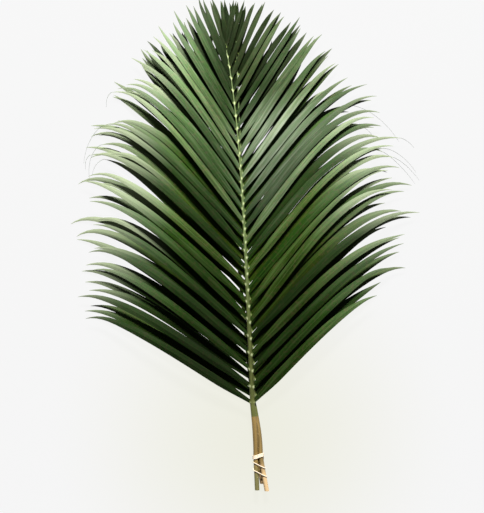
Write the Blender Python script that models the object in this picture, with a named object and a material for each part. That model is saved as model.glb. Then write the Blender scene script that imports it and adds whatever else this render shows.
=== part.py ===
"""A bunch of three feather palm fronds, laid down and tied at the stalks with a rubber band.

Metres, +Z up. The bunch lies on the XY plane with its cut stalk ends towards -Y and its tips
towards +Y. The origin is on the underside of the lowest stalk, just below the first leaflets,
in the flat that the stalk rests on.
"""

import math
import random
from dataclasses import dataclass

import bmesh
import bpy
from mathutils import Vector

MM = 0.001

# Stalks and ribs
STALK_RADIUS = 2.9 * MM
CUT_END_RADIUS = 3.1 * MM
RIB_TIP_RADIUS = 0.6 * MM
RIB_TAPER = 1.2
HOOK_POWER = 5
RIB_START_Y = 13.4 * MM
TIE_Y = -58.0 * MM
STALK_SIDES = 8
CUT_END_STEPS = 3
STALK_STEPS = 9
FLAT_STEPS = 4
RIB_STATIONS = 18

# Leaflets
ROOT_WIDTH = 3.4 * MM
BLADE_THICKNESS = 1.0 * MM
FOLD_DROP = 0.17
CURL_POWER = 3.5
SHINGLE_ROLL = math.radians(6)
LAST_NODE = 0.985
LEFT_SPACING = 1.05
LENGTH_RANGE = (0.95, 1.04)
CURL_RANGE = (0.75, 1.25)
SHORT_LEAFLET = 120 * MM
LONG_BLADE = [0, 0.06, 0.22, 0.45, 0.68, 0.87, 1]
SHORT_BLADE = [0, 0.12, 0.45, 0.78, 1]
PATH_STEPS = 40

# Each table is read at a share of the rib: 0 at the first leaflets, 1 at the rib's tip.
# Sides are 1 for the leaflets on the right and -1 for those on the left. Angles are in degrees.
NODE_SPACING = [(0, 21.4 * MM), (0.38, 21.4 * MM), (0.46, 16.6 * MM), (0.85, 16.6 * MM), (1, 11 * MM)]
LEAFLET_WIDTH = [(0, 12 * MM), (0.35, 11 * MM), (0.5, 9.8 * MM), (0.7, 9 * MM), (0.85, 7 * MM), (1, 4.8 * MM)]
LENGTH = {
    1: [(0, 222 * MM), (0.06, 258 * MM), (0.15, 280 * MM), (0.35, 270 * MM), (0.5, 240 * MM), (0.6, 212 * MM),
        (0.7, 186 * MM), (0.82, 140 * MM), (0.93, 95 * MM), (1, 51 * MM)],
    -1: [(0, 248 * MM), (0.1, 266 * MM), (0.3, 268 * MM), (0.5, 250 * MM), (0.6, 222 * MM),
         (0.7, 194 * MM), (0.82, 150 * MM), (0.93, 98 * MM), (1, 51 * MM)],
}  # fmt: skip
HEADING = {
    1: [(0, 43), (0.13, 41.5), (0.35, 37), (0.6, 37), (0.77, 32), (0.88, 25), (0.96, 15), (1, 4)],
    -1: [(0, 59.5), (0.1, 52.5), (0.25, 46), (0.5, 39), (0.77, 31), (0.88, 25), (0.96, 15), (1, 4)],
}
TIP_CURL = {
    1: [(0, 20), (0.1, 38), (0.35, 50), (0.52, 48), (0.6, 12), (0.77, 0), (0.9, 8), (1, 0)],
    -1: [(0, 25), (0.1, 35), (0.25, 38), (0.5, 44), (0.62, 25), (0.72, 6), (0.8, -3), (1, 0)],
}
# Read at a share of the leaflet
BLADE_OUTLINE = [(0, 0), (0.06, 0.6), (0.22, 1), (0.45, 1), (0.68, 0.94), (0.87, 0.57), (1, 0)]

# The pile: a low dome with a valley along the top rib, and one layer for each frond
PILE_CENTRE = (-13 * MM, 243 * MM)
PILE_HALF_WIDTH = 225 * MM
PILE_TO_TIP = 303 * MM
PILE_TO_STALK = 225 * MM
DOME_HEIGHT = 24 * MM
DOME_EDGE = 1.3
VALLEY_DEPTH = 0.45
VALLEY_WIDTH = 35 * MM
VALLEY_ROUNDING = 6 * MM
EDGE_SINK = 0.75
EDGE_POWER = 4
LAYER_AT_RIB = 7.0 * MM
LAYER_RISE = 4.0 * MM
LAYER_FALL = 6.5 * MM
ALTERNATE_LIFT = 0.5 * MM

# The rubber band. It is wound as two strands side by side, which part in the last turn.
BAND_WIDTH = 1.1 * MM
BAND_THICKNESS = 0.9 * MM
BAND_CLEARANCE = 0.6 * MM
BAND_SLANT = 2.8 * MM
BAND_MIDDLE = 5.5 * MM
BAND_HALF_WIDTH = 7.5 * MM
BAND_START_TURN = 240
BAND_END_TURN = 1300
BAND_TURN_STEP = 20
# Where each strand lies along the stalks (metres) after a turn in degrees from the left side
BAND_UPPER_STRAND = [(0, -52.1 * MM), (900, -58.3 * MM), (1080, -69 * MM), (1300, -70 * MM)]
BAND_SLANT_SHARE = [(0, 1), (900, 1), (1080, -1.45)]
BAND_LOWER_STRAND = [(0, -53.4 * MM), (900, -59.6 * MM), (1080, -79.5 * MM), (1300, -80 * MM)]

LEAF_GREEN = (0.045, 0.115, 0.022, 1)
BAND_CREAM = (0.85, 0.76, 0.60, 1)


@dataclass
class Frond:
    """One frond and its stalk. Points are (x, y, z) in metres.

    The leaflets are turned clockwise by turn degrees at the rib's start and by turn_at_tip at its
    tip. first_leaflet is in steps of the leaflets' spacing above the rib's start.
    """

    name: str
    layer: int
    rib_length: float
    base_x: float
    lean: float
    hook: float
    turn: float
    turn_at_tip: float
    length_share: float
    width_share: float
    first_leaflet: float
    tie: tuple
    cut: tuple
    settle_from: float
    free_lift: float
    free_turn: float
    seed: int


TOP_FROND = Frond(
    name="frond_top", layer=2, rib_length=481 * MM, base_x=-3.2 * MM, lean=-22 * MM, hook=-15 * MM,
    turn=0, turn_at_tip=0, length_share=1, width_share=0.95, first_leaflet=0,
    tie=(1.3 * MM, TIE_Y, 11.3 * MM), cut=(3.2 * MM, -102.8 * MM, 11.7 * MM),
    settle_from=0, free_lift=5 * MM, free_turn=3, seed=11,
)  # fmt: skip
MIDDLE_FROND = Frond(
    name="frond_middle", layer=1, rib_length=480 * MM, base_x=-1.6 * MM, lean=-25 * MM, hook=2 * MM,
    turn=1.1, turn_at_tip=6.6, length_share=0.97, width_share=1.15, first_leaflet=0.46,
    tie=(7.7 * MM, TIE_Y, 11.3 * MM), cut=(16.1 * MM, -104.1 * MM, 11.0 * MM),
    settle_from=0, free_lift=0.8 * MM, free_turn=3, seed=10,
)  # fmt: skip
BOTTOM_FROND = Frond(
    name="frond_bottom", layer=0, rib_length=441 * MM, base_x=-2.4 * MM, lean=-45 * MM, hook=-33 * MM,
    turn=0.5, turn_at_tip=-11.6, length_share=0.98, width_share=1.15, first_leaflet=0.68,
    tie=(4.5 * MM, TIE_Y, 5.4 * MM), cut=(10.0 * MM, -94.8 * MM, 6.1 * MM),
    settle_from=FLAT_STEPS / STALK_STEPS, free_lift=0.8 * MM, free_turn=4, seed=281,
)  # fmt: skip
FRONDS = [TOP_FROND, MIDDLE_FROND, BOTTOM_FROND]


def read_table(table, place):
    """Straight-line reading of a table of (place, value)."""
    for (place_0, value_0), (place_1, value_1) in zip(table, table[1:]):
        if place <= place_1:
            return value_0 + (value_1 - value_0) * (place - place_0) / (place_1 - place_0)
    return table[-1][1]


def rib_x(frond, y):
    """Where a frond's rib lies across the pile."""
    share = min(1, max(0, (y - RIB_START_Y) / frond.rib_length))
    return frond.base_x + frond.lean * share + frond.hook * share**HOOK_POWER


def pile_height(frond, x, y):
    """Height of the frond's own layer of the pile, in which its rib and its leaflets' ridges lie."""
    across = (x - PILE_CENTRE[0]) / PILE_HALF_WIDTH
    reach = PILE_TO_TIP if y > PILE_CENTRE[1] else PILE_TO_STALK
    along = (y - PILE_CENTRE[1]) / reach
    dome = max(0, 1 - across**2 - along**2) ** DOME_EDGE
    spread = min(1, math.hypot(across, max(0, along)))
    from_rib = math.hypot(x - rib_x(TOP_FROND, y), VALLEY_ROUNDING)
    valley = 1 - VALLEY_DEPTH * math.exp(-from_rib / VALLEY_WIDTH)
    layer = LAYER_AT_RIB + LAYER_RISE * spread - LAYER_FALL * spread**2
    lowest = STALK_RADIUS * (1 - EDGE_SINK * spread**EDGE_POWER)
    return DOME_HEIGHT * dome * valley + lowest + frond.layer * layer


def rib_point(frond, share):
    """Centre of the rib at a share of its length."""
    y = RIB_START_Y + share * frond.rib_length
    x = rib_x(frond, y)
    return Vector((x, y, pile_height(frond, x, y)))


def rib_radius(share):
    return RIB_TIP_RADIUS + (STALK_RADIUS - RIB_TIP_RADIUS) * (1 - share) ** RIB_TAPER


def stalk_point(frond, y):
    """Centre of the stalk where it passes y, between the first leaflets and the cut end."""
    base = rib_point(frond, 0)
    tie = Vector(frond.tie)
    cut = Vector(frond.cut)
    if y < tie.y:
        return tie.lerp(cut, (tie.y - y) / (tie.y - cut.y))
    gone = (base.y - y) / (base.y - tie.y)
    sunk = max(0, (gone - frond.settle_from) / (1 - frond.settle_from))
    x = base.x + (tie.x - base.x) * math.sin(gone * math.pi / 2)
    z = base.z + (tie.z - base.z) * (1 - math.cos(sunk * math.pi / 2))
    return Vector((x, y, z))


def stalk_radius(frond, y):
    """The stalk keeps its radius to the tie and swells a little towards the cut end."""
    swell = max(0, (TIE_Y - y) / (TIE_Y - frond.cut[1]))
    return STALK_RADIUS + (CUT_END_RADIUS - STALK_RADIUS) * swell


def new_object(name, verts, faces):
    mesh = bpy.data.meshes.new(name)
    mesh.from_pydata(verts, [], faces)
    mesh.update()
    made = bpy.data.objects.new(name, mesh)
    bpy.context.scene.collection.objects.link(made)
    return made


def bridge_rings(ring_count, sides, closed=False):
    """Triangles between rings of points, each quad split along the same diagonal."""
    faces = []
    spans = ring_count if closed else ring_count - 1
    for ring in range(spans):
        here = ring * sides
        there = (ring + 1) % ring_count * sides
        for side in range(sides):
            after = (side + 1) % sides
            faces.append((here + side, here + after, there + after))
            faces.append((here + side, there + after, there + side))
    return faces


def rib_and_stalk(frond):
    """A tapering octagonal rod from the cut end to the rib's tip, with a flat side down."""
    stations = []
    ends = [frond.cut[1] + (TIE_Y - frond.cut[1]) * step / CUT_END_STEPS for step in range(CUT_END_STEPS)]
    for y in ends + [TIE_Y + (RIB_START_Y - TIE_Y) * step / STALK_STEPS for step in range(STALK_STEPS)]:
        stations.append((stalk_point(frond, y), stalk_radius(frond, y)))
    for step in range(RIB_STATIONS):
        share = step / (RIB_STATIONS - 1)
        stations.append((rib_point(frond, share), rib_radius(share)))
    verts = []
    half_side = math.pi / STALK_SIDES
    for centre, radius in stations:
        corner = radius / math.cos(half_side)
        for side in range(STALK_SIDES):
            angle = half_side + side * 2 * half_side
            verts.append(centre + corner * Vector((math.sin(angle), 0, -math.cos(angle))))
    faces = bridge_rings(len(stations), STALK_SIDES)
    faces.append(tuple(reversed(range(STALK_SIDES))))
    last = (len(stations) - 1) * STALK_SIDES
    faces.append(tuple(range(last, last + STALK_SIDES)))
    return new_object(frond.name, verts, faces)


def leaflet_nodes(frond, side):
    """Shares of the rib at which leaflets stand. The left ones drift from the right ones."""
    nodes = []
    share = frond.first_leaflet * NODE_SPACING[0][1] / TOP_FROND.rib_length
    spacing = 1 if side == 1 else LEFT_SPACING
    while share < LAST_NODE:
        nodes.append(share)
        share += spacing * read_table(NODE_SPACING, share) / TOP_FROND.rib_length
    return nodes + [LAST_NODE]


def leaflet_path(frond, side, share, length, draws):
    """Points and directions along a leaflet seen from above, from its root inside the rib."""
    turn = frond.turn + (frond.turn_at_tip - frond.turn) * share
    heading = read_table(HEADING[side], share) * side + turn + draws.uniform(-1, 1) * frond.free_turn
    curl = read_table(TIP_CURL[side], share) * side * draws.uniform(*CURL_RANGE)
    root = rib_point(frond, share)
    point = Vector((root.x, root.y))
    path = []
    for step in range(PATH_STEPS + 1):
        gone = step / PATH_STEPS
        angle = math.radians(heading + curl * gone**CURL_POWER)
        direction = Vector((math.sin(angle), math.cos(angle)))
        path.append((point.copy(), direction))
        point += direction * length / PATH_STEPS
    return path


def add_leaflet(frond, side, share, lifted, draws, collection):
    """A closed blade with a ridge along its middle, drooping to both edges and to its tip."""
    length = read_table(LENGTH[side], share) * frond.length_share * draws.uniform(*LENGTH_RANGE)
    full_width = read_table(LEAFLET_WIDTH, share) * frond.width_share
    path = leaflet_path(frond, side, share, length, draws)
    lift = draws.random() * frond.free_lift
    stations = LONG_BLADE if length > SHORT_LEAFLET else SHORT_BLADE
    verts = []
    for gone in stations:
        point, direction = path[round(gone * PATH_STEPS)]
        across = Vector((direction.y, -direction.x))
        width = max(ROOT_WIDTH, full_width * read_table(BLADE_OUTLINE, gone))
        ridge = pile_height(frond, point.x, point.y) + ALTERNATE_LIFT * lifted * math.sin(gone * math.pi)
        ridge += lift * math.sin(gone * math.pi)
        if gone == 1:
            verts.append((point.x, point.y, ridge - BLADE_THICKNESS / 2))
            break
        drop = FOLD_DROP * width
        tilt = math.sin(SHINGLE_ROLL) * width / 2
        outward = across * side
        tip_side = point - outward * width / 2
        base_side = point + outward * width / 2
        verts.append((tip_side.x, tip_side.y, max(0, ridge - drop - tilt)))
        verts.append((point.x, point.y, ridge))
        verts.append((base_side.x, base_side.y, max(0, ridge - drop + tilt)))
        verts.append((point.x, point.y, max(0, ridge - BLADE_THICKNESS)))
    rings = len(stations) - 1
    faces = bridge_rings(rings, 4)
    faces.append((3, 2, 1, 0))
    tip = len(verts) - 1
    for corner in range(4):
        faces.append((tip - 4 + corner, tip - 4 + (corner + 1) % 4, tip))
    blade = new_object("leaflet", verts, faces)
    bpy.context.scene.collection.objects.unlink(blade)
    collection.objects.link(blade)


def make_outward(piece):
    """Turns every face of a closed piece outward."""
    shape = bmesh.new()
    shape.from_mesh(piece.data)
    bmesh.ops.recalc_face_normals(shape, faces=shape.faces)
    shape.to_mesh(piece.data)
    shape.free()


def fuse(piece, collection):
    """Unites a piece with everything in a collection, and removes the collection."""
    union = piece.modifiers.new("leaflets", "BOOLEAN")
    union.operation = "UNION"
    union.operand_type = "COLLECTION"
    union.collection = collection
    union.solver = "EXACT"
    shape = bpy.data.meshes.new_from_object(piece.evaluated_get(bpy.context.evaluated_depsgraph_get()))
    piece.modifiers.clear()
    piece.data = shape
    for blade in list(collection.objects):
        bpy.data.objects.remove(blade)
    bpy.data.collections.remove(collection)


def keep_largest_shell(piece):
    """Fills the small hollows that blades seal between them where they cross."""
    shape = bmesh.new()
    shape.from_mesh(piece.data)
    unseen = set(shape.verts)
    shells = []
    while unseen:
        shell = {unseen.pop()}
        border = list(shell)
        while border:
            for edge in border.pop().link_edges:
                for vert in edge.verts:
                    if vert in unseen:
                        unseen.remove(vert)
                        shell.add(vert)
                        border.append(vert)
        shells.append(shell)
    body = max(shells, key=len)
    bmesh.ops.delete(shape, geom=[vert for vert in shape.verts if vert not in body], context="VERTS")
    shape.to_mesh(piece.data)
    shape.free()


def make_frond(frond, material):
    """A rib with its leaflets standing off it on both sides, as one solid."""
    draws = random.Random(frond.seed)
    piece = rib_and_stalk(frond)
    make_outward(piece)
    blades = bpy.data.collections.new("leaflets")
    bpy.context.scene.collection.children.link(blades)
    for side in (1, -1):
        for count, share in enumerate(leaflet_nodes(frond, side)):
            add_leaflet(frond, side, share, count % 2, draws, blades)
    for blade in blades.objects:
        make_outward(blade)
    fuse(piece, blades)
    keep_largest_shell(piece)
    piece.data.materials.append(material)


def band_point(turn, strand):
    """Centre of the band after a turn, on a loop that keeps clear of the three stalks."""
    angle = math.radians(180 - turn)
    outward = Vector((math.cos(angle), 0, math.sin(angle)))
    y = read_table(strand, turn)
    held = max(FRONDS, key=lambda frond: outward.dot(stalk_point(frond, y)))
    across = (stalk_point(held, y).x + STALK_RADIUS * outward.x - BAND_MIDDLE) / BAND_HALF_WIDTH
    y += BAND_SLANT * across * read_table(BAND_SLANT_SHARE, turn)
    centre = stalk_point(held, y)
    corner = stalk_radius(TOP_FROND, y) / math.cos(math.pi / STALK_SIDES)
    return centre + outward * (corner + BAND_CLEARANCE + BAND_THICKNESS / 2), outward


def make_band(material):
    """The rubber band as one closed strip: down along one strand and back along the other."""
    turns = list(range(BAND_START_TURN, BAND_END_TURN + 1, BAND_TURN_STEP))
    route = [band_point(turn, BAND_UPPER_STRAND) for turn in turns]
    route += [band_point(turn, BAND_LOWER_STRAND) for turn in reversed(turns)]
    verts = []
    for count, (point, outward) in enumerate(route):
        ahead = route[(count + 1) % len(route)][0] - route[count - 1][0]
        across = ahead.cross(outward).normalized() * BAND_WIDTH / 2
        up = outward * BAND_THICKNESS / 2
        verts += [point - across - up, point + across - up, point + across + up, point - across + up]
    piece = new_object("rubber_band", verts, bridge_rings(len(route), 4, closed=True))
    make_outward(piece)
    piece.data.materials.append(material)


def new_material(name, colour, roughness):
    material = bpy.data.materials.new(name)
    material.use_nodes = True
    shader = material.node_tree.nodes["Principled BSDF"]
    shader.inputs["Base Color"].default_value = colour
    shader.inputs["Roughness"].default_value = roughness
    shader.inputs["Metallic"].default_value = 0
    return material


def main():
    for old in list(bpy.data.objects):
        bpy.data.objects.remove(old)
    leaf = new_material("leaf_green", LEAF_GREEN, 0.45)
    rubber = new_material("rubber_cream", BAND_CREAM, 0.6)
    for frond in FRONDS:
        make_frond(frond, leaf)
    make_band(rubber)


main()
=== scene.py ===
"""The looks of a tied bunch of three feather palm fronds that lies flat on a pale floor.

Metres, +Z up. The cut stalk ends point towards -Y and the leaf tips towards +Y. Each frond's
fine mesh follows the same layout as the solid that it replaces: the same places of the leaflets
along the rib, the same layer of the pile and the same seeded differences between leaflets.
"""

import math
import random
from dataclasses import dataclass

import bpy
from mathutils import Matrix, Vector

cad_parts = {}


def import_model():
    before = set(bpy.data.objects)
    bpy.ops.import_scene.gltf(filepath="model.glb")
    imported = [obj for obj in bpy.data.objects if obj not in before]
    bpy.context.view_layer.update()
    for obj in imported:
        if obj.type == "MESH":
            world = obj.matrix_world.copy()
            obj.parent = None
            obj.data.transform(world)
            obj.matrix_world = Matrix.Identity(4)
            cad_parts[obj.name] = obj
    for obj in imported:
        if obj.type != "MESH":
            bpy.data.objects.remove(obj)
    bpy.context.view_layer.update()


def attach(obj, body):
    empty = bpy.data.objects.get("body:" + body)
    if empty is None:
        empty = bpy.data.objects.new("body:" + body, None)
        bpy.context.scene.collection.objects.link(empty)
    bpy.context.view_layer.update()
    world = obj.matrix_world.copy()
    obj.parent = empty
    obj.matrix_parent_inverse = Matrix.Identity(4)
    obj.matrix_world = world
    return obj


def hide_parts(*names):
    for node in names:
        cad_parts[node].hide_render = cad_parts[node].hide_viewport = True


MM = 0.001

# Stalks and ribs
STALK_RADIUS = 3.2 * MM
CUT_END_RADIUS = 3.0 * MM
RIB_TIP_RADIUS = 0.6 * MM
RIB_TAPER = 1.2
RIB_START_Y = 13.4 * MM
TIE_Y = -58.0 * MM
FLAT_END_SHARE = 4 / 9
ROD_SIDES = 16
RIB_STATIONS = 400
STALK_STATIONS = 90

# The swelling of the rib at a leaflet's root and the waves of the stalk's surface, in shares of
# the radius. Along the stalk the waves are in radians per metre.
NODE_SWELL = 0.22
NODE_LENGTH = 2.2 * MM
STALK_WAVE = 0.012
WAVES_AROUND = 5
WAVES_ALONG = 180

# The cut end: a ragged ring at a share of the radius, and a sunk middle
CUT_RING = 0.8
CUT_RAGGED = 0.25 * MM
CUT_RAGGED_TURN = 1.7
CUT_SUNK = 0.3 * MM

# Leaflets
ROOT_WIDTH = 3.4 * MM
BLADE_THICKNESS = 0.4 * MM
ROOT_THICKNESS = 1.6 * MM
THICK_ROOT_LENGTH = 4 * MM
NARROWEST = 0.3 * MM
FOLD_DROP = 0.11
FOLD_POWER = 1.25
CURL_POWER = 3.5
FLICK_FROM = 0.8
SHINGLE_ROLL = math.radians(8)
ROLL_WAVES = 5
LAST_NODE = 0.985
LEFT_SPACING = 1.05
PATH_STEPS = 120
BLADE_STATIONS = 26
STATIONS_TO_ENDS = 0.35
BLADE_SIDES = [-1, -0.72, -0.42, -0.1, 0, 0.1, 0.42, 0.72, 1]

# A blade opens over the first stretch of its length, closes after the next place and thins over
# the last stretch. Near the rib's tip it closes more bluntly.
OPENING = (-0.07, 0.24)
CLOSING_FROM = 0.35
CLOSING_POWER = 1.9
BLUNTER_BY = 0.8
BLUNTER_SHARES = (0.5, 0.8)
THIN_TIP = (0.85, 1)
THIN_TIP_BY = 0.6

# Ranges of the random differences between leaflets. Angles are in degrees.
LENGTH_RANGE = (0.95, 1.04)
WIDTH_RANGE = (0.9, 1.08)
CURL_RANGE = (0.75, 1.25)
PALE_RANGE = (0.3, 1)
FLICK_SPREAD = 9
ROLL_SWING = 6

# Each table is read at a share of the rib: 0 at the first leaflets, 1 at the rib's tip.
# Sides are 1 for the leaflets on the right and -1 for those on the left. Angles are in degrees.
NODE_SPACING = [(0, 21.4 * MM), (0.38, 21.4 * MM), (0.46, 16.6 * MM), (0.85, 16.6 * MM), (1, 11 * MM)]
LEAFLET_WIDTH = [
    (0, 12 * MM), (0.35, 11 * MM), (0.5, 9.8 * MM), (0.7, 9 * MM), (0.85, 7 * MM), (1, 4.8 * MM),
]  # fmt: skip
LENGTH = {
    1: [(0, 222 * MM), (0.06, 258 * MM), (0.15, 280 * MM), (0.35, 270 * MM), (0.5, 240 * MM),
        (0.6, 212 * MM), (0.7, 186 * MM), (0.82, 140 * MM), (0.93, 95 * MM), (1, 51 * MM)],
    -1: [(0, 248 * MM), (0.1, 266 * MM), (0.3, 268 * MM), (0.5, 250 * MM), (0.6, 222 * MM),
         (0.7, 194 * MM), (0.82, 150 * MM), (0.93, 98 * MM), (1, 51 * MM)],
}  # fmt: skip
HEADING = {
    1: [(0, 43), (0.13, 41.5), (0.35, 37), (0.6, 37), (0.77, 32), (0.88, 25), (0.96, 15), (1, 4)],
    -1: [(0, 59.5), (0.1, 52.5), (0.25, 46), (0.5, 39), (0.77, 31), (0.88, 25), (0.96, 15), (1, 4)],
}
TIP_CURL = {
    1: [(0, 20), (0.1, 38), (0.35, 50), (0.52, 48), (0.6, 12), (0.77, 0), (0.9, 8), (1, 0)],
    -1: [(0, 25), (0.1, 35), (0.25, 38), (0.5, 44), (0.62, 25), (0.72, 6), (0.8, -3), (1, 0)],
}

# The fringe's tips on each side: how far they fade and how many degrees they turn, and the
# stretches of the rib's shares over which that starts and ends
PALE_TIPS = {1: 0.7, -1: 1.1}
PALE_FRINGE = ((-0.1, 0.25), (0.5, 0.85))
HOOKED_TIPS = {1: 10, -1: -22}
HOOKED_FRINGE = ((-0.1, 0.15), (0.5, 0.7))

# The loose threads: which tips have one, the headings that they fall to, and how far out they
# may reach. A thread reaches outwards by a share of its length.
THREADS_FROM = 0.25
THREADS_TO = 0.55
THREAD_CHANCE = 0.4
THREAD_FALL = {1: 140, -1: 178}
THREAD_FALL_SPREAD = 12
THREAD_BEND_POWER = 0.5
THREAD_LIMIT = 228 * MM
THREAD_REACH = {1: 0.9, -1: 0.45}
THREAD_LENGTH = (20 * MM, 90 * MM)
THREAD_SHORTEST = 15 * MM
THREAD_RADIUS = 0.25 * MM
THREAD_TAPER = 0.6
THREAD_STEPS = 24
THREAD_SIDES = 3

# The pile: a low dome with a valley along the top rib, and one layer for each frond
PILE_CENTRE = (-13 * MM, 243 * MM)
PILE_HALF_WIDTH = 225 * MM
PILE_TO_TIP = 303 * MM
PILE_TO_STALK = 225 * MM
DOME_HEIGHT = 24 * MM
DOME_EDGE = 1.3
VALLEY_DEPTH = 0.45
VALLEY_WIDTH = 35 * MM
VALLEY_ROUNDING = 6 * MM
EDGE_SINK = 0.75
EDGE_SINK_POWER = 4
LAYER_AT_RIB = 7.0 * MM
LAYER_RISE = 4.0 * MM
LAYER_FALL = 6.5 * MM
HOOK_POWER = 5
ALTERNATE_LIFT = 0.5 * MM
LAID_OVER = 1.6 * MM

# The rubber band. It is wound as two strands side by side, which part in the last turn.
BAND_WIDTH = 1.25 * MM
BAND_THICKNESS = 0.9 * MM
BAND_ROUNDING = 0.6
BAND_CLEARANCE = 0.3 * MM
BAND_SLANT = 2.8 * MM
BAND_MIDDLE = 5.5 * MM
BAND_HALF_WIDTH = 7.5 * MM
BAND_START_TURN = 240
BAND_END_TURN = 1300
BAND_TURN_STEP = 5
BAND_SECTION_SIDES = 12
BAND_SLANT_SHARE = [(0, 1), (900, 1), (1080, -1.45)]
# Where each strand lies along the stalks (metres) after a turn in degrees from the left side
BAND_UPPER_STRAND = [(0, -52.1 * MM), (900, -58.3 * MM), (1080, -69 * MM), (1300, -70 * MM)]
BAND_LOWER_STRAND = [(0, -53.4 * MM), (900, -59.6 * MM), (1080, -79.5 * MM), (1300, -80 * MM)]

# Slots of a frond's materials
LEAF_SLOT = 0
ROD_SLOT = 1
CUT_SLOT = 2

# Edges of the meshes that are sharper than this stay sharp
SHARP_ANGLE = math.radians(50)
# The distance in metres that stands for no leaflet's root nearby
NO_ROOT = 1.0

# Colours
LEAF_DARK = (0.004, 0.022, 0.001)
LEAF_GREEN = (0.025, 0.100, 0.004)
LEAF_OLIVE = (0.055, 0.075, 0.018)
# The pale green of the midrib, and of the blotches of painted sheen
LEAF_PALE = (0.09, 0.15, 0.05)
LEAF_BROWN = (0.085, 0.065, 0.030)
# A grey-green painted sheen on the blades
LEAF_PAINTED_SHEEN = (0.26, 0.295, 0.23)
# Pale tips, partly a painted glow of light shining through the blade
LEAF_TIP = (0.27, 0.31, 0.20)
LEAF_ROOT = (0.22, 0.29, 0.08)
LEAF_GLOSS_TINT = (0.7, 0.9, 0.5)
RIB_GREEN = (0.115, 0.16, 0.05)
RIB_DARK = (0.055, 0.09, 0.02)
RIB_NODE = (0.50, 0.56, 0.30)
RIB_OLIVE = (0.085, 0.098, 0.022)
RIB_OLIVE_DARK = (0.030, 0.038, 0.008)
STALK_BROWN = (0.27, 0.175, 0.055)
STALK_TAN = (0.72, 0.50, 0.27)
STALK_DARK = (0.15, 0.095, 0.045)
STALK_OLIVE = (0.15, 0.15, 0.055)
STALK_GREEN = (0.10, 0.11, 0.025)
# Darker patches on the stalks, and the painted shade of the middle stalk
STALK_PATCH_AND_SHADE = (0.16, 0.11, 0.038)
PITH = (0.62, 0.50, 0.30)
BAND_CREAM = (0.84, 0.71, 0.55)
BAND_WORN = (0.78, 0.66, 0.48)
# The colours of each stalk and of its last stretch before the cut. The middle stalk's colour is a painted
# shade.
STALK_COLOURS = {
    "frond_top": (STALK_BROWN, STALK_OLIVE),
    "frond_middle": (STALK_PATCH_AND_SHADE, STALK_TAN),
    "frond_bottom": (STALK_BROWN, STALK_DARK),
}

# Grains of the streaks: how often they change along and across a leaflet, a rod or the band.
# They shift with a leaflet's tone, so that leaflets differ.
LEAF_STREAK_GRAIN = (4, 34)
LEAF_BLOTCH_GRAIN = (5, 4)
LEAF_FIBRE_GRAIN = (6, 30)
ROD_STREAK_GRAIN = (40, 14)
ROD_FIBRE_GRAIN = (60, 22)
STALK_PATCH_GRAIN = (12, 9)
BAND_GRAIN = (240, 8)
GRAIN_SHIFT = 50
GRAIN_DETAIL = 3
# Patterns that change so many times in a metre
LEAF_FLECK_SCALE = 260
STALK_SPECK_SCALE = 160
PITH_FIBRE_SCALE = 1800
# Waves of light and of height across a blade
LEAF_RIBS = 6
LEAF_VEINS = 13

# Curves of the looks: (low, high, value at low, value at high), where the two values are 0 and 1
# if left out. Along is 0 at a leaflet's root and 1 at its tip, share is the leaflet's place on the
# rib, and tone is a number from 0 to 1 that is drawn for it. Up and right are places in metres,
# and so are those on the rib and the stalk. Streaks, blotches, flecks and the like read a pattern.
LEAF_STREAKS = (0.32, 0.68)
LEAF_BLOTCHES = (0.42, 0.72)
FLECKS = (0.5, 0.66, 0, 0.45)
OLIVE_BY_TONE = (0.3, 0.9, 0, 0.8)
# The apex, where the blades are painted in shade and take less painted sheen
APEX_UP = (370 * MM, 440 * MM)
APEX_RIGHT = (-80 * MM, -10 * MM)
# Where the painted sheen lies on the blades
PAINTED_SHEEN_SHARES = (0.3, 0.65)
PAINTED_SHEEN_TO_RIGHT = (-50 * MM, 40 * MM, 0.25, 1)
OUTER_PAINTED_SHEEN_ALONG = (0.4, 0.95, 0, 0.38)
OUTER_PAINTED_SHEEN_BY_SHARE = (-0.15, 0.25)
MIDRIB_FADE = (0.012, 0.04, 0.5, 0)
# Painted light and shade on the blades, over a lightness that differs at random between leaflets
LIGHT_BY_TONE = (0, 1, 0.35, 1.4)
LIGHT_BY_SHARE = (0.1, 0.65, 0.33, 1.15)
LIGHT_ALONG = (0.3, 0.95, 0.85, 1.4)
OUTER_PART = (0.3, 0.85)
LOW_LEAFLETS = (0.15, 0.5, 1, 0)
INNER_PART = (0.1, 0.7, 1, 0)
LEFT_OF_RIB = (-50 * MM, -5 * MM, 1, 0)
TIP_FADE = (0.85, 1.27, 0, 0.9)
ROOT_FADE = (0, 2.5 * MM, 0.9, 0)
LEAF_ROUGHNESS_BY_SHARE = (0.2, 0.7, 0.68, 0.46)
ROD_STREAKS = (0.35, 0.65)
UPPER_RIB = (60 * MM, 260 * MM)
NODE_REACH = (0.5 * MM, 3.2 * MM)
GREEN_RIB_START = (8 * MM, 30 * MM, 0.9, 0)
STALK_PATCHES = (0.5, 0.62, 0, 0.5)
STALK_SPECKS = (0.1, 0.2, 0.5, 0)
STALK_END = (-88 * MM, -60 * MM, 0.85, 0)
STALK_TO_RIB = (-6 * MM, -3 * MM)
PITH_FIBRES = (0.2, 0.45, 1, 0)
BAND_WEAR = (0.3, 0.7, 0, 0.35)

# Strengths of the looks: the share of a colour that shows, or what is added to 1. The painted light
# is capped, then scaled by the frond's painted shade and raised by the least.
BLOTCH_PALE = 0.5
PAINTED_SHEEN_LEAST = 0.5
PAINTED_SHEEN_BY_BLOTCH = 0.45
PAINTED_SHEEN_AT_APEX = -0.75
LIGHT_AT_APEX = -0.6
LIGHT_LOW_OUTER = 0.7
LIGHT_NEAR_RIB = -0.32
LIGHT_ON_RIBS = 0.12
LIGHT_MOST = 1.6
LIGHT_SHARE = 0.94
LIGHT_LEAST = 0.03
RIB_STREAK = 0.7
NODE_PALE = 0.85

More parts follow.
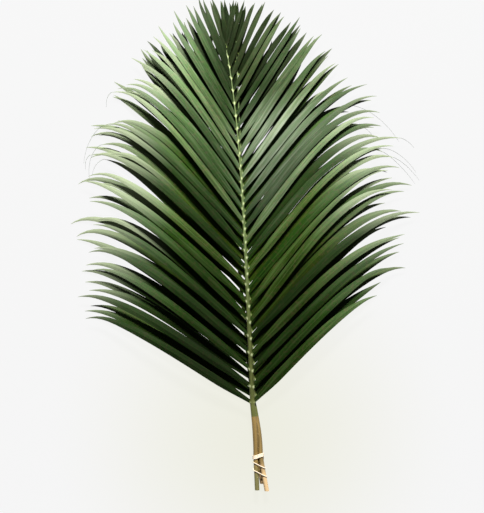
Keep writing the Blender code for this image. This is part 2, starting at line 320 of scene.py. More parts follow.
# A frond's uppermost leaflets are painted in shade over a stretch of the rib, which starts at a share
# that is higher for a frond in full light
DIM_FROM = 0.25
DIM_FROM_BY_SHADE = 0.5
DIM_OVER = 0.22
DIM_TO = 0.22

# A frond in the shade is more saturated, and a pale tip fades from further back
SATURATION = 1.12
SATURATION_IN_SHADE = 0.5
PALE_TO_TIP = 0.35

# Heights of the surfaces' grain
VEIN_HEIGHT = 0.08 * MM
ROD_FIBRE_HEIGHT = 0.25 * MM
PITH_HEIGHT = 0.15 * MM
BAND_GRAIN_HEIGHT = 0.08 * MM

# The floor, which glows in near-white with a painted cream shadow around the stalks, and the light
FLOOR_SIZE = 12
FLOOR_Z = -0.2 * MM
FLOOR_COLOUR = (0.01, 0.01, 0.0105)
FLOOR_GLOW = (0.90, 0.90, 0.90)
# A painted soft shadow in cream around the stalks
FLOOR_CREAM_SHADOW = (0.83, 0.83, 0.735)
CREAM_CENTRE = (0, -30 * MM, 0)
CREAM_REACH = 290 * MM
KEY_PLACE = (0.15, 1.85, 1.5)
KEY_TARGET = (0, 0.3, 0)
KEY_SIZE = 0.4
KEY_POWER = 135
KEY_COLOUR = (1, 1, 0.98)
ROOM_COLOUR = (1, 1, 0.99)
ROOM_STRENGTH = 0.09

# The picture: the photo's size and the places in it of the origin and of one metre
PHOTO_WIDTH = 484
PHOTO_HEIGHT = 513
ORIGIN_PIXEL = (254.7, 412.0)
METRES_PER_PIXEL = 1.3347 * MM
CAMERA_HEIGHT = 2.4


@dataclass
class Frond:
    """One frond and its stalk. Points are (x, y, z) in metres.

    The leaflets are turned clockwise by turn degrees at the rib's start and by turn_at_tip at its
    tip. first_leaflet is in steps of the leaflets' spacing above the rib's start. The rib leans
    and hooks sideways, and the stalk's centre passes the points tie and cut. It sinks to the
    tie's height after settle_from of the way. A leaflet lifts by up to free_lift and turns by up
    to free_turn degrees. shade is 1 for a frond in full light.
    """

    name: str
    layer: int
    rib_length: float
    base_x: float
    lean: float
    hook: float
    turn: float
    turn_at_tip: float
    length_share: float
    width_share: float
    first_leaflet: float
    tie: tuple
    cut: tuple
    settle_from: float
    free_lift: float
    free_turn: float
    seed: int
    # A frond's shade paints its colours darker and more saturated: painted shade on the fronds under the
    # top one
    shade: float


TOP_FROND = Frond(
    name="frond_top", layer=2, rib_length=481 * MM, base_x=-3.2 * MM, lean=-22 * MM, hook=-15 * MM,
    turn=0, turn_at_tip=0, length_share=1, width_share=0.95, first_leaflet=0,
    tie=(1.3 * MM, TIE_Y, 11.3 * MM), cut=(3.2 * MM, -102.8 * MM, 11.7 * MM),
    settle_from=0, free_lift=5 * MM, free_turn=3, seed=11, shade=1.0,
)  # fmt: skip
MIDDLE_FROND = Frond(
    name="frond_middle", layer=1, rib_length=480 * MM, base_x=-1.6 * MM, lean=-25 * MM, hook=2 * MM,
    turn=1.1, turn_at_tip=6.6, length_share=0.97, width_share=1.15, first_leaflet=0.46,
    tie=(7.7 * MM, TIE_Y, 11.3 * MM), cut=(16.1 * MM, -104.1 * MM, 11.0 * MM),
    settle_from=0, free_lift=0.8 * MM, free_turn=3, seed=10, shade=0.6,
)  # fmt: skip
BOTTOM_FROND = Frond(
    name="frond_bottom", layer=0, rib_length=441 * MM, base_x=-2.4 * MM, lean=-45 * MM, hook=-33 * MM,
    turn=0.5, turn_at_tip=-11.6, length_share=0.98, width_share=1.15, first_leaflet=0.68,
    tie=(4.5 * MM, TIE_Y, 5.4 * MM), cut=(10.0 * MM, -94.8 * MM, 6.1 * MM),
    settle_from=FLAT_END_SHARE, free_lift=0.8 * MM, free_turn=4, seed=281, shade=0.6,
)  # fmt: skip
FRONDS = [TOP_FROND, MIDDLE_FROND, BOTTOM_FROND]
# The fine draws that the solids don't have start from a seed of their own
FINE_SEED = 100


def read_table(table, place):
    """Straight-line reading of a table of (place, value)."""
    for (place_0, value_0), (place_1, value_1) in zip(table, table[1:]):
        if place <= place_1:
            return value_0 + (value_1 - value_0) * (place - place_0) / (place_1 - place_0)
    return table[-1][1]


def smooth(low, high, value):
    """0 below low, 1 above high, and an even curve between."""
    share = min(1, max(0, (value - low) / (high - low)))
    return share * share * (3 - 2 * share)


def between(rise, fall, value):
    """0, then 1 after the stretch rise, then 0 again after the stretch fall."""
    return smooth(*rise, value) * (1 - smooth(*fall, value))


def past(start, value):
    """0 up to start, and then evenly up to 1 where value is 1."""
    return max(0, (value - start) / (1 - start))


def rib_x(frond, y):
    """Where a frond's rib lies across the pile."""
    share = min(1, max(0, (y - RIB_START_Y) / frond.rib_length))
    return frond.base_x + frond.lean * share + frond.hook * share**HOOK_POWER


def pile_height(frond, x, y):
    """Height of the frond's own layer of the pile, in which its rib and its leaflets' ridges lie."""
    across = (x - PILE_CENTRE[0]) / PILE_HALF_WIDTH
    reach = PILE_TO_TIP if y > PILE_CENTRE[1] else PILE_TO_STALK
    along = (y - PILE_CENTRE[1]) / reach
    dome = max(0, 1 - across**2 - along**2) ** DOME_EDGE
    spread = min(1, math.hypot(across, max(0, along)))
    from_rib = math.hypot(x - rib_x(TOP_FROND, y), VALLEY_ROUNDING)
    valley = 1 - VALLEY_DEPTH * math.exp(-from_rib / VALLEY_WIDTH)
    layer = LAYER_AT_RIB + LAYER_RISE * spread - LAYER_FALL * spread**2
    lowest = STALK_RADIUS * (1 - EDGE_SINK * spread**EDGE_SINK_POWER)
    return DOME_HEIGHT * dome * valley + lowest + frond.layer * layer


def rib_point(frond, share):
    """Centre of the rib at a share of its length."""
    y = RIB_START_Y + share * frond.rib_length
    x = rib_x(frond, y)
    return Vector((x, y, pile_height(frond, x, y)))


def rib_radius(share):
    """The rib narrows towards its tip."""
    return RIB_TIP_RADIUS + (STALK_RADIUS - RIB_TIP_RADIUS) * (1 - share) ** RIB_TAPER


def stalk_point(frond, y):
    """Centre of the stalk where it passes y, between the first leaflets and the cut end."""
    base = rib_point(frond, 0)
    tie = Vector(frond.tie)
    cut = Vector(frond.cut)
    if y < tie.y:
        return tie.lerp(cut, (tie.y - y) / (tie.y - cut.y))
    gone = (base.y - y) / (base.y - tie.y)
    x = base.x + (tie.x - base.x) * math.sin(gone * math.pi / 2)
    z = base.z + (tie.z - base.z) * (1 - math.cos(past(frond.settle_from, gone) * math.pi / 2))
    return Vector((x, y, z))


def stalk_radius(frond, y):
    """The stalk keeps its radius to the tie and narrows a little towards the cut end."""
    gone = max(0, (TIE_Y - y) / (TIE_Y - frond.cut[1]))
    return STALK_RADIUS + (CUT_END_RADIUS - STALK_RADIUS) * gone


def leaflet_nodes(frond, side):
    """Shares of the rib at which leaflets stand. The left ones drift from the right ones."""
    nodes = []
    share = frond.first_leaflet * NODE_SPACING[0][1] / TOP_FROND.rib_length
    spacing = 1 if side == 1 else LEFT_SPACING
    while share < LAST_NODE:
        nodes.append(share)
        share += spacing * read_table(NODE_SPACING, share) / TOP_FROND.rib_length
    return nodes + [LAST_NODE]


@dataclass
class Shape:
    """A mesh in the making: points, faces, and for each point its place and numbers.

    place is (along, across) a leaflet or a rod. Among the numbers, tone and pale are drawn for each
    leaflet, share is its place along the rib, and root the distance in metres from its root.
    """

    points: list
    faces: list
    slots: list
    place: list
    numbers: dict

    def add_point(self, point, place, tone=0.5, pale=0.0, share=0.0, root=NO_ROOT):
        self.points.append(tuple(point))
        self.place.append(place)
        for name, value in (("tone", tone), ("pale", pale), ("share", share), ("root", root)):
            self.numbers.setdefault(name, []).append(value)

    def add_face(self, corners, slot):
        self.faces.append(tuple(corners))
        self.slots.append(slot)

    def add_blade_faces(self, first, rings, sides, slot):
        """Triangles around a flat tube, split alike on its upper and its lower face."""
        for here in range(first, first + (rings - 1) * sides, sides):
            for side in range(sides):
                after = (side + 1) % sides
                near, near_after = here + side, here + after
                far, far_after = near + sides, near_after + sides
                if side < sides / 2:
                    self.add_face((near, near_after, far_after), slot)
                    self.add_face((near, far_after, far), slot)
                else:
                    self.add_face((near, near_after, far), slot)
                    self.add_face((near_after, far_after, far), slot)

    def add_rings(self, first, rings, sides, slot, closed=False):
        """Quads between rings of points that start at first."""
        spans = rings if closed else rings - 1
        for ring in range(spans):
            here = first + ring * sides
            there = first + (ring + 1) % rings * sides
            for side in range(sides):
                after = (side + 1) % sides
                self.add_face((here + side, here + after, there + after, there + side), slot)


def new_shape():
    return Shape([], [], [], [], {})


def new_piece(name, shape, materials):
    """An object from a shape, with its places and numbers as named data."""
    mesh = bpy.data.meshes.new(name)
    mesh.from_pydata(shape.points, [], shape.faces)
    for material in materials:
        mesh.materials.append(material)
    mesh.polygons.foreach_set("material_index", shape.slots)
    layer = mesh.uv_layers.new(name="place")
    for loop in mesh.loops:
        layer.data[loop.index].uv = shape.place[loop.vertex_index]
    for label, values in shape.numbers.items():
        mesh.attributes.new(label, "FLOAT", "POINT").data.foreach_set("value", values)
    mesh.update()
    mesh.shade_smooth()
    mesh.set_sharp_from_angle(angle=SHARP_ANGLE)
    piece = bpy.data.objects.new(name, mesh)
    bpy.context.scene.collection.objects.link(piece)
    return piece


def blade_width(gone, share, full_width, root_width):
    """A narrow root, full width by a quarter of the length, and a point."""
    opening = smooth(*OPENING, gone)
    power = CLOSING_POWER + BLUNTER_BY * smooth(*BLUNTER_SHARES, share)
    closing = math.cos(past(CLOSING_FROM, gone) ** power * math.pi / 2)
    return root_width * (1 - opening) * closing + full_width * opening * closing


def blade_thickness(gone, root):
    """Thick at a leaflet's root, even along the blade and thin at its tip."""
    swollen = (ROOT_THICKNESS - BLADE_THICKNESS) * (1 - smooth(0, THICK_ROOT_LENGTH, root))
    return (BLADE_THICKNESS + swollen) * (1 - THIN_TIP_BY * smooth(*THIN_TIP, gone))


def leaflet_path(frond, side, share, length, flick, draws):
    """Points and directions along a leaflet seen from above, from its root inside the rib."""
    turn = frond.turn + (frond.turn_at_tip - frond.turn) * share
    heading = read_table(HEADING[side], share) * side + turn + draws.uniform(-1, 1) * frond.free_turn
    curl = read_table(TIP_CURL[side], share) * side * draws.uniform(*CURL_RANGE)
    root = rib_point(frond, share)
    point = Vector((root.x, root.y))
    path = []
    for step in range(PATH_STEPS + 1):
        gone = step / PATH_STEPS
        angle = math.radians(heading + curl * gone**CURL_POWER + flick * past(FLICK_FROM, gone) ** 2)
        direction = Vector((math.sin(angle), math.cos(angle)))
        path.append((point.copy(), direction))
        point += direction * length / PATH_STEPS
    return path


def add_leaflet(shape, frond, side, share, lifted, draws, fine):
    """A thin arched blade, folded along its midrib, on a swollen root."""
    length = read_table(LENGTH[side], share) * frond.length_share * draws.uniform(*LENGTH_RANGE)
    full_width = read_table(LEAFLET_WIDTH, share) * frond.width_share * fine.uniform(*WIDTH_RANGE)
    root_width = min(ROOT_WIDTH, full_width / 2) * frond.width_share**3
    flick = fine.gauss(0, FLICK_SPREAD) + HOOKED_TIPS[side] * between(*HOOKED_FRINGE, share)
    path = leaflet_path(frond, side, share, length, flick, draws)
    lift = draws.random() * frond.free_lift + ALTERNATE_LIFT * lifted
    pale = fine.uniform(*PALE_RANGE) * PALE_TIPS[side] * between(*PALE_FRINGE, share)
    laid_over = fine.uniform(0, LAID_OVER)
    looks = {"tone": fine.random(), "pale": pale, "share": share}
    roll_swing = math.radians(fine.uniform(-ROLL_SWING, ROLL_SWING))
    roll_phase = fine.uniform(0, 2 * math.pi)
    first = len(shape.points)
    for station in range(BLADE_STATIONS):
        even = station / (BLADE_STATIONS - 1)
        gone = even + STATIONS_TO_ENDS * even * (1 - even) * (2 * even - 1)
        point, direction = path[round(gone * PATH_STEPS)]
        outward = Vector((direction.y, -direction.x)) * side
        width = max(NARROWEST, blade_width(gone, share, full_width, root_width))
        arch = math.sin(gone * math.pi)
        ridge = pile_height(frond, point.x, point.y) + lift * arch + laid_over * gone
        roll = SHINGLE_ROLL + roll_swing * math.sin(gone * ROLL_WAVES + roll_phase) * arch
        root = gone * length - rib_radius(share)
        thickness = blade_thickness(gone, root)
        upper = []
        for across in BLADE_SIDES:
            drop = FOLD_DROP * width * abs(across) ** FOLD_POWER
            height = ridge - drop + math.sin(roll) * across * width / 2
            upper.append((point + outward * across * width / 2, max(thickness, height), across))
        for flat, height, across in upper:
            shape.add_point((flat.x, flat.y, height), (gone, (across + 1) / 2), root=root, **looks)
        for flat, height, across in reversed(upper):
            below = max(0, height - thickness)
            shape.add_point((flat.x, flat.y, below), (gone, (across + 1) / 2), root=root, **looks)
    close_blade(shape, first, flipped=side == 1)
    if THREADS_FROM < share < THREADS_TO and fine.random() < THREAD_CHANCE:
        point, direction = path[-1]
        add_thread(shape, point, math.atan2(direction.x, direction.y), ridge, side, fine)


def close_blade(shape, first, flipped):
    """The faces of a blade whose points start at first, facing outwards on either side of the rib."""
    sides = 2 * len(BLADE_SIDES)
    start = len(shape.faces)
    last = len(shape.points) - sides
    shape.add_blade_faces(first, BLADE_STATIONS, sides, LEAF_SLOT)
    shape.add_face(reversed(range(first, first + sides)), LEAF_SLOT)
    shape.add_face(range(last, last + sides), LEAF_SLOT)
    if flipped:
        shape.faces[start:] = [tuple(reversed(face)) for face in shape.faces[start:]]


def add_thread(shape, point, heading, height, side, fine):
    """A loose thread that curls down from a leaflet's tip.

    It has the colour of the middle of a blade that stands halfway up the rib.
    """
    room = (THREAD_LIMIT - abs(point.x)) / THREAD_REACH[side]
    length = min(room, fine.uniform(*THREAD_LENGTH))
    if length < THREAD_SHORTEST:
        return
    fall = THREAD_FALL[side] + fine.uniform(-THREAD_FALL_SPREAD, THREAD_FALL_SPREAD)
    bend = math.radians(fall) * side - heading
    first = len(shape.points)
    for step in range(THREAD_STEPS):
        gone = step / (THREAD_STEPS - 1)
        angle = heading + bend * gone**THREAD_BEND_POWER
        direction = Vector((math.sin(angle), math.cos(angle)))
        across = Vector((direction.y, -direction.x))
        radius = THREAD_RADIUS * (1 - THREAD_TAPER * gone)
        level = max(radius, height * (1 - gone**2))
        for corner in range(THREAD_SIDES):
            turn = corner * 2 * math.pi / THREAD_SIDES
            flat = point + across * radius * math.cos(turn)
            spot = (flat.x, flat.y, level + radius * math.sin(turn))
            shape.add_point(spot, (0.5, 0.5), share=0.5)
        point = point + direction * length / THREAD_STEPS
    shape.add_rings(first, THREAD_STEPS, THREAD_SIDES, LEAF_SLOT)
    last = len(shape.points) - THREAD_SIDES
    shape.add_face(reversed(range(first, first + THREAD_SIDES)), LEAF_SLOT)
    shape.add_face(range(last, last + THREAD_SIDES), LEAF_SLOT)


def root_distance(frond, share, nodes):
    """Distance along the rib to the nearest leaflet's root on one side."""
    return min(abs(share - node) for node in nodes) * frond.rib_length


def rod_stations(frond):
    """Centre, radius and share of the rib for each ring of the rod. The stalk's share is -1."""
    stations = []
    for step in range(STALK_STATIONS):
        y = frond.cut[1] + (RIB_START_Y - frond.cut[1]) * step / STALK_STATIONS
        stations.append((stalk_point(frond, y), stalk_radius(frond, y), -1))
    for step in range(RIB_STATIONS):
        share = step / (RIB_STATIONS - 1)
        stations.append((rib_point(frond, share), rib_radius(share), share))
    return stations


def add_rod(shape, frond, fine):
    """The stalk and the rib as one tapering rod, with a swelling at each leaflet's root."""
    nodes = {side: leaflet_nodes(frond, side) for side in (1, -1)}
    stations = rod_stations(frond)
    first = len(shape.points)
    phase_around = fine.uniform(0, 2 * math.pi)
    phase_along = fine.uniform(0, 2 * math.pi)
    for count, (centre, radius, share) in enumerate(stations):
        for side in range(ROD_SIDES):
            angle = side * 2 * math.pi / ROD_SIDES
            right = math.sin(angle)
            if share < 0:
                root = NO_ROOT
                wave = math.sin(angle * WAVES_AROUND + phase_around)
                wave += math.sin(centre.y * WAVES_ALONG + phase_along)
                bulge = 1 + STALK_WAVE * wave
            else:
                root = root_distance(frond, share, nodes[1 if right > 0 else -1])
                bulge = 1 + NODE_SWELL * math.exp(-((root / NODE_LENGTH) ** 2)) * abs(right)
                root = math.hypot(root, radius * (1 - abs(right)))
            point = centre + radius * bulge * Vector((right, 0, -math.cos(angle)))
            place = (count / len(stations), side / ROD_SIDES)
            shape.add_point((point.x, point.y, max(0, point.z)), place, root=root)
    shape.add_rings(first, len(stations), ROD_SIDES, ROD_SLOT)
    last = len(shape.points) - ROD_SIDES
    shape.add_face(range(last, last + ROD_SIDES), ROD_SLOT)
    add_cut_end(shape, frond, first)


def add_cut_end(shape, frond, first):
    """The cut face: the rod's first ring, a ragged ring inside it and a sunk middle."""
    centre = Vector(frond.cut)
    inner = len(shape.points)
    for side in range(ROD_SIDES):
        point = centre.lerp(Vector(shape.points[first + side]), CUT_RING)
        point.y -= CUT_RAGGED * math.sin(side * CUT_RAGGED_TURN)
        shape.add_point(point, (0, side / ROD_SIDES))
    middle = len(shape.points)
    shape.add_point(centre + Vector((0, CUT_SUNK, 0)), (0, 0))
    for side in range(ROD_SIDES):
        after = (side + 1) % ROD_SIDES
        shape.add_face((first + after, first + side, inner + side, inner + after), CUT_SLOT)
        shape.add_face((inner + after, inner + side, middle), CUT_SLOT)


def make_frond(frond, materials):
    """One frond. The draws repeat those of its solid, and the fine ones are this script's own."""
    draws = random.Random(frond.seed)
    fine = random.Random(frond.seed + FINE_SEED)
    shape = new_shape()
    for side in (1, -1):
        for count, share in enumerate(leaflet_nodes(frond, side)):
            add_leaflet(shape, frond, side, share, count % 2, draws, fine)
    add_rod(shape, frond, fine)
    piece = new_piece(f"{frond.name}_fine", shape, materials)
    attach(piece, "root")
    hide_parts(frond.name)


def band_point(turn, strand):
    """Centre of the band after a turn, on a loop that lies on the three stalks."""
    angle = math.radians(180 - turn)
    outward = Vector((math.cos(angle), 0, math.sin(angle)))
    y = read_table(strand, turn)
    held = max(FRONDS, key=lambda frond: outward.dot(stalk_point(frond, y)))
    across = (stalk_point(held, y).x + STALK_RADIUS * outward.x - BAND_MIDDLE) / BAND_HALF_WIDTH
    y += BAND_SLANT * across * read_table(BAND_SLANT_SHARE, turn)
    centre = stalk_point(held, y)
    return centre + outward * (stalk_radius(TOP_FROND, y) + BAND_CLEARANCE + BAND_THICKNESS / 2), outward


def rounded(value):
    """A sine or cosine drawn towards 1 or -1, for a section between an oval and a box."""
    return math.copysign(abs(value) ** BAND_ROUNDING, value)


def make_band(material):
    """The rubber band as one closed strip with rounded edges."""
    turns = list(range(BAND_START_TURN, BAND_END_TURN + 1, BAND_TURN_STEP))
    route = [band_point(turn, BAND_UPPER_STRAND) for turn in turns]
    route += [band_point(turn, BAND_LOWER_STRAND) for turn in reversed(turns)]
    shape = new_shape()
    for count, (point, outward) in enumerate(route):
        ahead = route[(count + 1) % len(route)][0] - route[count - 1][0]
        across = ahead.cross(outward).normalized()
        for side in range(BAND_SECTION_SIDES):
            angle = side * 2 * math.pi / BAND_SECTION_SIDES
            wide = rounded(math.cos(angle)) * BAND_WIDTH / 2
            thick = rounded(math.sin(angle)) * BAND_THICKNESS / 2
            place = (count / len(route), side / BAND_SECTION_SIDES)
            shape.add_point(point + across * wide + outward * thick, place)
    shape.add_rings(0, len(route), BAND_SECTION_SIDES, 0, closed=True)
    piece = new_piece("rubber_band_fine", shape, [material])
    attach(piece, "root")
    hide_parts("rubber_band")


class Nodes:
    """Short names for the shader nodes that the materials use."""

    def __init__(self, material):
        material.use_nodes = True
        self.tree = material.node_tree
        self.shader = self.tree.nodes["Principled BSDF"]

    def link(self, source, target):
        self.tree.links.new(source, target)

    def new(self, kind, **settings):
        node = self.tree.nodes.new(kind)
        for name, value in settings.items():
            setattr(node, name, value)
        return node

    def set(self, name, value):
        """One of the shader's own numbers or colours."""
        self.shader.inputs[name].default_value = value

    def attribute(self, name):
        """One of the numbers that the mesh has for each point."""
        return self.new("ShaderNodeAttribute", attribute_name=name).outputs["Fac"]

    def split(self, vector):
        """The three parts of a vector, as outputs."""
        node = self.new("ShaderNodeSeparateXYZ")
        self.link(vector, node.inputs[0])
        return node.outputs

    def place(self):
        """(along, across) of a leaflet or rod, as two outputs."""
        along, across, _ = self.split(self.new("ShaderNodeUVMap", uv_map="place").outputs["UV"])
        return along, across

    def coordinates(self):
        """The point's place in metres."""
        return self.new("ShaderNodeTexCoord").outputs["Object"]

    def texture(self, kind, scale, output):
        """A noise or a cell pattern in metres."""
        node = self.new(kind)
        node.inputs["Scale"].default_value = scale
        self.link(self.coordinates(), node.inputs["Vector"])
        return node.outputs[output]

    def math(self, operation, first, second=None, third=None):
        node = self.new("ShaderNodeMath", operation=operation)
        for socket, value in zip(node.inputs, (first, second, third)):
            if value is None:
                continue
            if isinstance(value, (int, float)):
                socket.default_value = value
            else:
                self.link(value, socket)
        return node.outputs[0]

    def times(self, product, *factors):
        """The first value times all the others."""
        for factor in factors:
            product = self.math("MULTIPLY", product, factor)
        return product

    def one_plus(self, value, amount):
        """1 where the value is 0, and more or less by the amount where it is 1."""
        return self.math("MULTIPLY_ADD", value, amount, 1)

    def waves(self, value, count):
        """So many sine waves while the value goes from 0 to 1."""
        return self.math("SINE", self.math("MULTIPLY", value, 2 * math.pi * count))

    def step(self, value, low, high, to_low=0.0, to_high=1.0):
        """An even curve from to_low at low to to_high at high."""
        node = self.new("ShaderNodeMapRange", interpolation_type="SMOOTHSTEP")
        self.link(value, node.inputs["Value"])
        node.inputs["From Min"].default_value = low
        node.inputs["From Max"].default_value = high
        node.inputs["To Min"].default_value = to_low
        node.inputs["To Max"].default_value = to_high
        return node.outputs["Result"]

    def mix(self, share, first, second):
        """The first colour where the share is 0, and the second where it is 1."""
        node = self.new("ShaderNodeMix", data_type="RGBA")
        for socket, value in zip((node.inputs[0], node.inputs[6], node.inputs[7]), (share, first, second)):
            if isinstance(value, tuple):
                socket.default_value = (*value, 1)
            else:
                self.link(value, socket)
        return node.outputs[2]

    def stretched_noise(self, scale_along, scale_across):
        """Streaks that run along a leaflet or rod, and differ between leaflets."""
        along, across = self.place()
        joined = self.new("ShaderNodeCombineXYZ")
        self.link(self.math("MULTIPLY", along, scale_along), joined.inputs["X"])
        self.link(self.math("MULTIPLY", across, scale_across), joined.inputs["Y"])
        self.link(self.math("MULTIPLY", self.attribute("tone"), GRAIN_SHIFT), joined.inputs["Z"])
        noise = self.new("ShaderNodeTexNoise")
        noise.inputs["Scale"].default_value = 1
        noise.inputs["Detail"].default_value = GRAIN_DETAIL
        self.link(joined.outputs[0], noise.inputs["Vector"])
        return noise.outputs["Fac"]

    def bump(self, height, distance, strength=1.0):
        """Raise the look of the surface by a distance in metres where the height is 1."""
        node = self.new("ShaderNodeBump")
        node.inputs["Distance"].default_value = distance
        node.inputs["Strength"].default_value = strength
        self.link(height, node.inputs["Height"])
        self.link(node.outputs[0], self.shader.inputs["Normal"])

    def colour(self, value):
        self.link(value, self.shader.inputs["Base Color"])


def leaf_green(nodes, blotches):
    """Streaks along the blade, more olive on some leaflets, with pale blotches of painted sheen and brown
    flecks.
    """
    green = nodes.mix(nodes.step(nodes.attribute("tone"), *OLIVE_BY_TONE), LEAF_GREEN, LEAF_OLIVE)
    streaks = nodes.step(nodes.stretched_noise(*LEAF_STREAK_GRAIN), *LEAF_STREAKS)
    green = nodes.mix(streaks, LEAF_DARK, green)
    green = nodes.mix(nodes.times(blotches, BLOTCH_PALE), green, LEAF_PALE)
    flecks = nodes.step(nodes.texture("ShaderNodeTexNoise", LEAF_FLECK_SCALE, "Fac"), *FLECKS)
    return nodes.mix(flecks, green, LEAF_BROWN)


def leaf_painted_sheen(nodes, frond, blotches, apex):
    """How much painted grey sheen lies on the upper leaflets, most to the right, and on all outer parts.
    """
    along, _ = nodes.place()
    right, _, _ = nodes.split(nodes.coordinates())
    share = nodes.attribute("share")
    upper = nodes.times(
        nodes.step(share, *PAINTED_SHEEN_SHARES, 0, frond.shade**2),
        nodes.math("MULTIPLY_ADD", blotches, PAINTED_SHEEN_BY_BLOTCH, PAINTED_SHEEN_LEAST),
        nodes.step(right, *PAINTED_SHEEN_TO_RIGHT),
        nodes.one_plus(apex, PAINTED_SHEEN_AT_APEX),
    )
    outer = nodes.times(
        nodes.step(along, *OUTER_PAINTED_SHEEN_ALONG),
        nodes.step(share, *OUTER_PAINTED_SHEEN_BY_SHARE),
        nodes.one_plus(apex, -1),
    )
    return nodes.math("MAXIMUM", upper, outer)


def leaf_painted_light(nodes, frond, apex):
    """How light the blades are painted: a random lightness by leaflet, with painted shade low down,
    on the uppermost leaflets, at the apex, left of the rib and on a frond in shade, and painted
    light at the fringe and on the ribs across a blade.
    """
    along, across = nodes.place()
    right, _, _ = nodes.split(nodes.coordinates())
    share = nodes.attribute("share")
    dim_from = DIM_FROM + DIM_FROM_BY_SHADE * frond.shade
    low_outer = nodes.times(nodes.step(along, *OUTER_PART), nodes.step(share, *LOW_LEAFLETS))
    near_rib = nodes.times(nodes.step(along, *INNER_PART), nodes.step(right, *LEFT_OF_RIB))
    light = nodes.times(
        nodes.step(nodes.attribute("tone"), *LIGHT_BY_TONE),
        nodes.step(share, *LIGHT_BY_SHARE),
        nodes.step(share, dim_from, dim_from + DIM_OVER, 1, DIM_TO),
        nodes.step(along, *LIGHT_ALONG),
        nodes.one_plus(apex, LIGHT_AT_APEX),
        nodes.one_plus(low_outer, LIGHT_LOW_OUTER),
        nodes.one_plus(near_rib, LIGHT_NEAR_RIB),
        nodes.one_plus(nodes.waves(across, LEAF_RIBS), LIGHT_ON_RIBS),
    )
    light = nodes.math("MINIMUM", light, LIGHT_MOST)
    return nodes.math("MULTIPLY_ADD", light, LIGHT_SHARE * frond.shade, LIGHT_LEAST)


def leaf_material(frond):
    """Streaked green with a painted sheen and painted light and shade, paler at the root, along the
    midrib and at the tip.
    """
    material = bpy.data.materials.new(f"{frond.name}_leaf")
    nodes = Nodes(material)
    along, across = nodes.place()
    right, up, _ = nodes.split(nodes.coordinates())
    # Painted shade and less painted sheen at the apex
    apex = nodes.times(nodes.step(up, *APEX_UP), nodes.step(right, *APEX_RIGHT))
    # Blotches of painted sheen, which also vary the painted grey sheen
    blotches = nodes.step(nodes.stretched_noise(*LEAF_BLOTCH_GRAIN), *LEAF_BLOTCHES)
    # Painted grey sheen mixed into the blades' green
    body = nodes.mix(leaf_painted_sheen(nodes, frond, blotches, apex), leaf_green(nodes, blotches), LEAF_PAINTED_SHEEN)
    from_middle = nodes.math("ABSOLUTE", nodes.math("SUBTRACT", across, 0.5))
    body = nodes.mix(nodes.step(from_middle, *MIDRIB_FADE), body, LEAF_PALE)
    # The painted light and shade set the blades' value
    lit = nodes.new("ShaderNodeHueSaturation")
    lit.inputs["Saturation"].default_value = SATURATION + SATURATION_IN_SHADE * (1 - frond.shade)
    nodes.link(leaf_painted_light(nodes, frond, apex), lit.inputs["Value"])
    nodes.link(body, lit.inputs["Color"])
    # Pale tips, partly a painted glow of light shining through them
    towards_tip = nodes.math("MULTIPLY_ADD", nodes.attribute("pale"), PALE_TO_TIP, along)
    body = nodes.mix(nodes.step(towards_tip, *TIP_FADE), lit.outputs[0], LEAF_TIP)
    body = nodes.mix(nodes.step(nodes.attribute("root"), *ROOT_FADE), body, LEAF_ROOT)
    nodes.colour(body)
    fibres = nodes.stretched_noise(*LEAF_FIBRE_GRAIN)
    nodes.bump(nodes.math("ADD", nodes.waves(across, LEAF_VEINS), fibres), VEIN_HEIGHT, strength=0.6)
    roughness = nodes.step(nodes.attribute("share"), *LEAF_ROUGHNESS_BY_SHARE)
    nodes.link(roughness, nodes.shader.inputs["Roughness"])
    nodes.set("Specular IOR Level", 0.14)
    nodes.set("Specular Tint", (*LEAF_GLOSS_TINT, 1))
    return material


def rib_colour(nodes, frond, y, streaks):
    """Olive below and pale green above, with pale nodes and a green start."""
    upper = nodes.step(y, *UPPER_RIB)
    light = nodes.mix(upper, RIB_OLIVE, RIB_GREEN)
    dark = nodes.mix(upper, RIB_OLIVE_DARK, RIB_DARK)
    rib = nodes.mix(nodes.times(streaks, RIB_STREAK), light, dark)
    # The pale nodes fade on a frond in painted shade
    pale_node = nodes.step(nodes.attribute("root"), *NODE_REACH, NODE_PALE * frond.shade**3, 0)
    rib = nodes.mix(pale_node, rib, RIB_NODE)
    return nodes.mix(nodes.step(y, *GREEN_RIB_START), rib, STALK_GREEN)


def stalk_colour(nodes, y, streaks, colour, end_colour):
    """Streaks and darker patches, the last stretch in a colour of its own, and tan specks."""
    stalk = nodes.mix(streaks, colour, STALK_BROWN)
    patches = nodes.step(nodes.stretched_noise(*STALK_PATCH_GRAIN), *STALK_PATCHES)
    stalk = nodes.mix(patches, stalk, STALK_PATCH_AND_SHADE)
    stalk = nodes.mix(nodes.step(y, *STALK_END), stalk, end_colour)
    specks = nodes.texture("ShaderNodeTexVoronoi", STALK_SPECK_SCALE, "Distance")
    return nodes.mix(nodes.step(specks, *STALK_SPECKS), stalk, STALK_TAN)


def rod_material(frond):
    """A green rib that goes over into a dry brown stalk below the first leaflets."""
    material = bpy.data.materials.new(f"{frond.name}_rod")
    nodes = Nodes(material)
    _, y, _ = nodes.split(nodes.coordinates())
    streaks = nodes.step(nodes.stretched_noise(*ROD_STREAK_GRAIN), *ROD_STREAKS)
    rib = rib_colour(nodes, frond, y, streaks)
    stalk = stalk_colour(nodes, y, streaks, *STALK_COLOURS[frond.name])
    nodes.colour(nodes.mix(nodes.step(y, *STALK_TO_RIB), stalk, rib))
    nodes.bump(nodes.stretched_noise(*ROD_FIBRE_GRAIN), ROD_FIBRE_HEIGHT, strength=0.7)
    nodes.set("Roughness", 0.5)
    return material


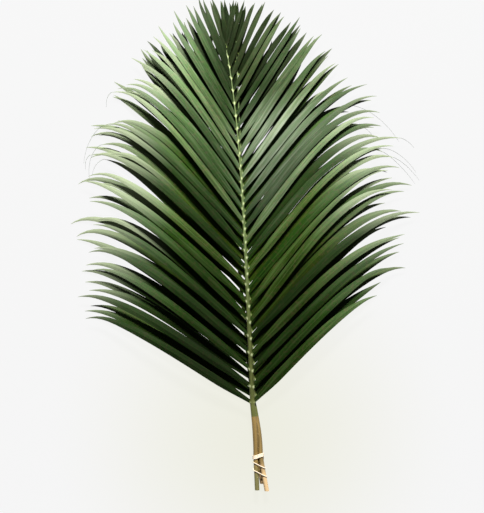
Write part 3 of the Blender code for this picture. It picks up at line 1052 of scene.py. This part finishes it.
def cut_material():
    """A dry pith with darker fibres."""
    material = bpy.data.materials.new("cut_end")
    nodes = Nodes(material)
    cells = nodes.texture("ShaderNodeTexVoronoi", PITH_FIBRE_SCALE, "Distance")
    nodes.colour(nodes.mix(nodes.step(cells, *PITH_FIBRES), PITH, STALK_BROWN))
    nodes.bump(cells, PITH_HEIGHT)
    nodes.set("Roughness", 0.85)
    return material


def band_material():
    """Soft cream rubber, a little worn in streaks."""
    material = bpy.data.materials.new("rubber_cream")
    nodes = Nodes(material)
    grain = nodes.stretched_noise(*BAND_GRAIN)
    nodes.colour(nodes.mix(nodes.step(grain, *BAND_WEAR), BAND_CREAM, BAND_WORN))
    nodes.bump(grain, BAND_GRAIN_HEIGHT, strength=0.6)
    nodes.set("Roughness", 0.55)
    nodes.set("Subsurface Weight", 0.15)
    nodes.set("Subsurface Radius", (2 * MM, 1.5 * MM, 1 * MM))
    return material


def make_floor():
    """A plain pale floor under the bunch, lit from below as a light table is, so shadows stay faint."""
    bpy.ops.mesh.primitive_plane_add(size=FLOOR_SIZE, location=(0, 0, FLOOR_Z))
    floor = bpy.context.object
    floor.name = "floor"
    material = bpy.data.materials.new("pale_floor")
    nodes = Nodes(material)
    distance = nodes.new("ShaderNodeVectorMath", operation="DISTANCE")
    nodes.link(nodes.coordinates(), distance.inputs[0])
    distance.inputs[1].default_value = CREAM_CENTRE
    # A painted soft cream shadow around the stalks
    cream = nodes.step(distance.outputs["Value"], 0, CREAM_REACH, 1, 0)
    nodes.link(nodes.mix(cream, FLOOR_GLOW, FLOOR_CREAM_SHADOW), nodes.shader.inputs["Emission Color"])
    nodes.set("Emission Strength", 1)
    nodes.set("Base Color", (*FLOOR_COLOUR, 1))
    nodes.set("Roughness", 0.9)
    nodes.set("Specular IOR Level", 0.1)
    floor.data.materials.append(material)


def make_lights():
    """Soft light from above and from the tips' side, in an even pale room."""
    data = bpy.data.lights.new("key", "AREA")
    data.shape = "DISK"
    data.size = KEY_SIZE
    data.energy = KEY_POWER
    data.color = KEY_COLOUR
    light = bpy.data.objects.new("key", data)
    light.location = KEY_PLACE
    light.rotation_euler = (Vector(KEY_TARGET) - Vector(KEY_PLACE)).to_track_quat("-Z", "Y").to_euler()
    bpy.context.scene.collection.objects.link(light)
    world = bpy.data.worlds.new("pale_room")
    world.use_nodes = True
    background = world.node_tree.nodes["Background"]
    background.inputs["Color"].default_value = (*ROOM_COLOUR, 1)
    background.inputs["Strength"].default_value = ROOM_STRENGTH
    bpy.context.scene.world = world


def make_camera():
    """Straight above the bunch, framed as the photo is."""
    x = (PHOTO_WIDTH / 2 - ORIGIN_PIXEL[0]) * METRES_PER_PIXEL
    y = (ORIGIN_PIXEL[1] - PHOTO_HEIGHT / 2) * METRES_PER_PIXEL
    data = bpy.data.cameras.new("camera")
    data.sensor_fit = "VERTICAL"
    data.angle = 2 * math.atan(PHOTO_HEIGHT * METRES_PER_PIXEL / 2 / CAMERA_HEIGHT)
    camera = bpy.data.objects.new("camera", data)
    camera.location = (x, y, CAMERA_HEIGHT)
    bpy.context.scene.collection.objects.link(camera)
    bpy.context.scene.camera = camera


def main():
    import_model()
    make_camera()
    make_floor()
    make_lights()
    cut = cut_material()
    for frond in FRONDS:
        make_frond(frond, [leaf_material(frond), rod_material(frond), cut])
    make_band(band_material())
    bpy.context.scene.view_settings.view_transform = "Standard"
    bpy.context.view_layer.update()


main()
